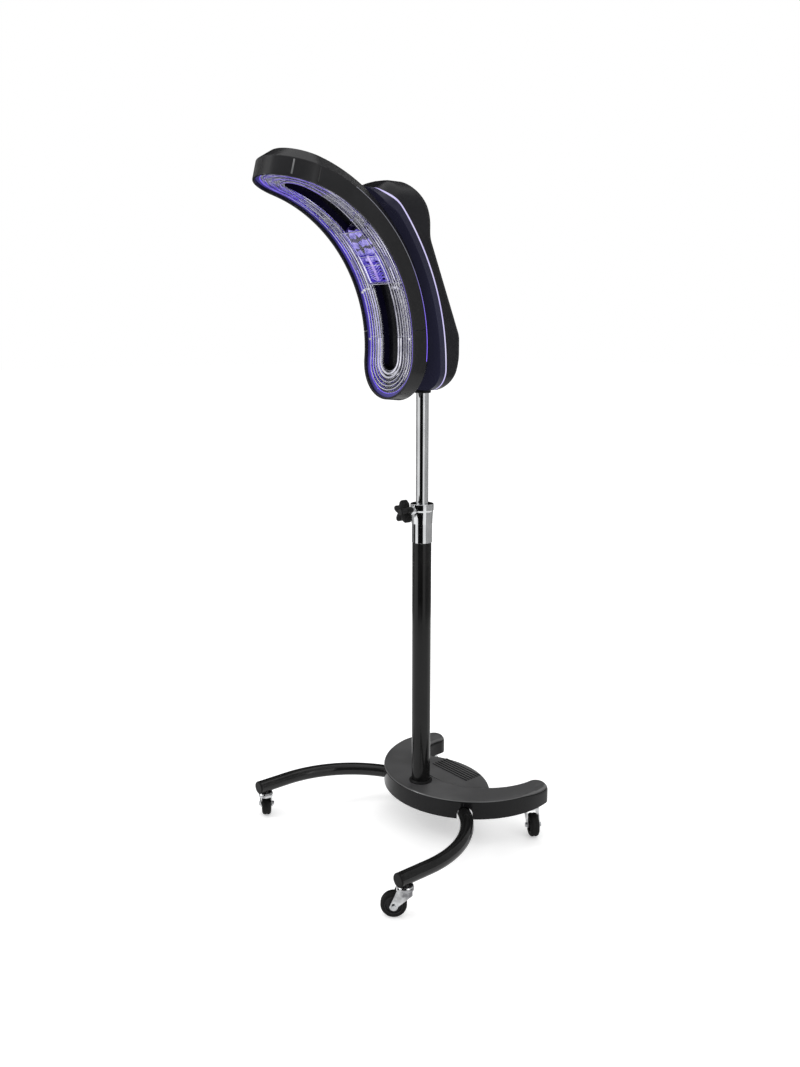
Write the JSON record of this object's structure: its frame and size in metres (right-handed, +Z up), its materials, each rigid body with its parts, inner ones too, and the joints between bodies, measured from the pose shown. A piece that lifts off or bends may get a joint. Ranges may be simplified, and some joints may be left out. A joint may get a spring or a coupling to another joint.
{
  "type": "hair color processor",
  "caption": "Free-standing hair color processor: a curved LED-lit heating arc on a slim rear housing, on a telescopic chrome pole with a crescent base, two curved legs and swivel casters.",
  "frame": {"origin": "on the floor under the pole's axis", "axes": "+Z up along the pole; the heating arc faces -Y, where the client sits; the console is on the +Y side; +X to the client's left"},
  "size_m": [0.5513, 0.5875, 1.3792],
  "materials": {
    "frame_black": "satin black powder coat",
    "tube_black": "gloss black paint",
    "cover_black": "satin black moulding",
    "shell_black": "gloss black moulding",
    "chrome": "bright chrome",
    "steel": "zinc plated",
    "brass": "turned",
    "tyre_black": "matt",
    "hub_grey": "matt",
    "plastic_black": "matt",
    "lens_clear": "clear polycarbonate",
    "window_dark": "dark tinted",
    "light_violet": "lit diffuser",
    "light_white": "lit diffuser",
    "board": "circuit board",
    "quartz": "quartz tube",
    "ceramic": "unglazed",
    "button_grey": "matt"
  },
  "bodies": {
    "base": {"base_frame": "frame_black", "base_cover": "cover_black", "base_deck": "cover_black", "leg_tube_left": "tube_black", "leg_tube_right": "tube_black", "leg_end_caps": "plastic_black", "caster_stems": "steel", "pole_socket": "frame_black", "socket_bolts": "steel", "lower_tube": "tube_black", "tube_trim_ring": "plastic_black", "collar_sleeve": "chrome", "clamp_collar": "chrome", "guide_bush": "plastic_black"},
    "mast": {"chrome_tube": "chrome", "tube_plug": "plastic_black", "neck_collar": "plastic_black"},
    "head": {"head_bracket": "frame_black", "front_housing": "shell_black", "light_band": "light_white", "rear_cover": "shell_black", "arc_bridge": "frame_black", "arc_shell": "shell_black", "arc_end_shell": "shell_black", "led_strip": "light_violet", "led_board": "board", "lens_upper": "lens_clear", "lens_middle": "lens_clear", "lens_lower": "lens_clear", "heater_windows": "window_dark", "heater_tubes": "quartz", "heater_holders": "ceramic", "module_case": "lens_clear", "louvre_grille": "plastic_black", "lamp_spine": "light_white", "fan_frame": "plastic_black", "control_panel": "plastic_black", "display_window": "window_dark", "power_inlet": "plastic_black"},
    "pressure_pad": {"clamp_pad": "brass"},
    "knob": {"clamp_knob": "plastic_black", "knob_stud": "steel"},
    "fan": {"fan_rotor": "plastic_black"},
    "rocker": {"power_rocker": "plastic_black"},
    "caster_front_left": {"caster_fork_front_left": "chrome"},
    "wheel_front_left": {"caster_tyre_front_left": "tyre_black", "caster_hub_front_left": "hub_grey"},
    "caster_front_right": {"caster_fork_front_right": "chrome"},
    "wheel_front_right": {"caster_tyre_front_right": "tyre_black", "caster_hub_front_right": "hub_grey"},
    "caster_rear_left": {"caster_fork_rear_left": "chrome"},
    "wheel_rear_left": {"caster_tyre_rear_left": "tyre_black", "caster_hub_rear_left": "hub_grey"},
    "caster_rear_right": {"caster_fork_rear_right": "chrome"},
    "wheel_rear_right": {"caster_tyre_rear_right": "tyre_black", "caster_hub_rear_right": "hub_grey"},
    "key_start": {"button_start": "button_grey"},
    "key_mode": {"button_mode": "button_grey"},
    "key_less": {"button_less": "button_grey"},
    "key_more": {"button_more": "button_grey"}
  },
  "joints": [
    {"name": "swivel_front_left", "type": "hinge", "parent": "base", "child": "caster_front_left", "pos_m": [-0.245, -0.246, 0.058], "axis": [0, 0, 1], "continuous": true},
    {"name": "roll_front_left", "type": "hinge", "parent": "caster_front_left", "child": "wheel_front_left", "pos_m": [-0.26324, -0.2337, 0.025], "axis": [0.5592, 0.829, 0], "continuous": true},
    {"name": "swivel_front_right", "type": "hinge", "parent": "base", "child": "caster_front_right", "pos_m": [0.245, -0.246, 0.058], "axis": [0, 0, 1], "continuous": true},
    {"name": "roll_front_right", "type": "hinge", "parent": "caster_front_right", "child": "wheel_front_right", "pos_m": [0.23086, -0.26285, 0.025], "axis": [-0.766, 0.6428, 0], "continuous": true},
    {"name": "swivel_rear_left", "type": "hinge", "parent": "base", "child": "caster_rear_left", "pos_m": [-0.16897, 0.17212, 0.058], "axis": [0, 0, 1], "continuous": true},
    {"name": "roll_rear_left", "type": "hinge", "parent": "caster_rear_left", "child": "wheel_rear_left", "pos_m": [-0.17997, 0.19117, 0.025], "axis": [0.866, 0.5, 0], "continuous": true},
    {"name": "swivel_rear_right", "type": "hinge", "parent": "base", "child": "caster_rear_right", "pos_m": [0.16897, 0.17212, 0.058], "axis": [0, 0, 1], "continuous": true},
    {"name": "roll_rear_right", "type": "hinge", "parent": "caster_rear_right", "child": "wheel_rear_right", "pos_m": [0.18742, 0.16014, 0.025], "axis": [-0.5446, -0.8387, 0], "continuous": true},
    {"name": "mast_slide", "type": "slide", "parent": "base", "child": "mast", "axis": [0, 0, 1], "range_m": [-0.17, 0.2]},
    {"name": "head_swivel", "type": "hinge", "parent": "mast", "child": "head", "pos_m": [0, 0, 0.963], "axis": [0, 0, 1], "range_deg": [-170, 170]},
    {"name": "pad_travel", "type": "slide", "parent": "base", "child": "pressure_pad", "axis": [0, 1, 0], "range_m": [-0.0026, 0]},
    {"name": "knob_turn", "type": "hinge", "parent": "pressure_pad", "child": "knob", "pos_m": [0, -0.045, 0.71], "axis": [0, -1, 0], "range_deg": [0, 720]},
    {"name": "fan_spin", "type": "hinge", "parent": "head", "child": "fan", "pos_m": [0, -0.11276, 1.22091], "axis": [0, 0.8192, 0.5736], "continuous": true},
    {"name": "press_start", "type": "slide", "parent": "head", "child": "key_start", "axis": [0, -0.921, -0.3897], "range_m": [0, 0.0012], "stiffness_N_per_m": 400, "springref_m": -0.0012},
    {"name": "press_mode", "type": "slide", "parent": "head", "child": "key_mode", "axis": [0, -0.921, -0.3897], "range_m": [0, 0.0012], "stiffness_N_per_m": 400, "springref_m": -0.0012},
    {"name": "press_less", "type": "slide", "parent": "head", "child": "key_less", "axis": [0, -0.921, -0.3897], "range_m": [0, 0.0012], "stiffness_N_per_m": 400, "springref_m": -0.0012},
    {"name": "press_more", "type": "slide", "parent": "head", "child": "key_more", "axis": [0, -0.921, -0.3897], "range_m": [0, 0.0012], "stiffness_N_per_m": 400, "springref_m": -0.0012},
    {"name": "rocker_tilt", "type": "hinge", "parent": "head", "child": "rocker", "pos_m": [0.022, 0.035, 1.043], "axis": [1, 0, 0], "range_deg": [-6, 6]}
  ],
  "couplings": [
    {"joint": "pad_travel", "follows": "knob_turn", "m_per_rad": -0.000198}
  ]
}
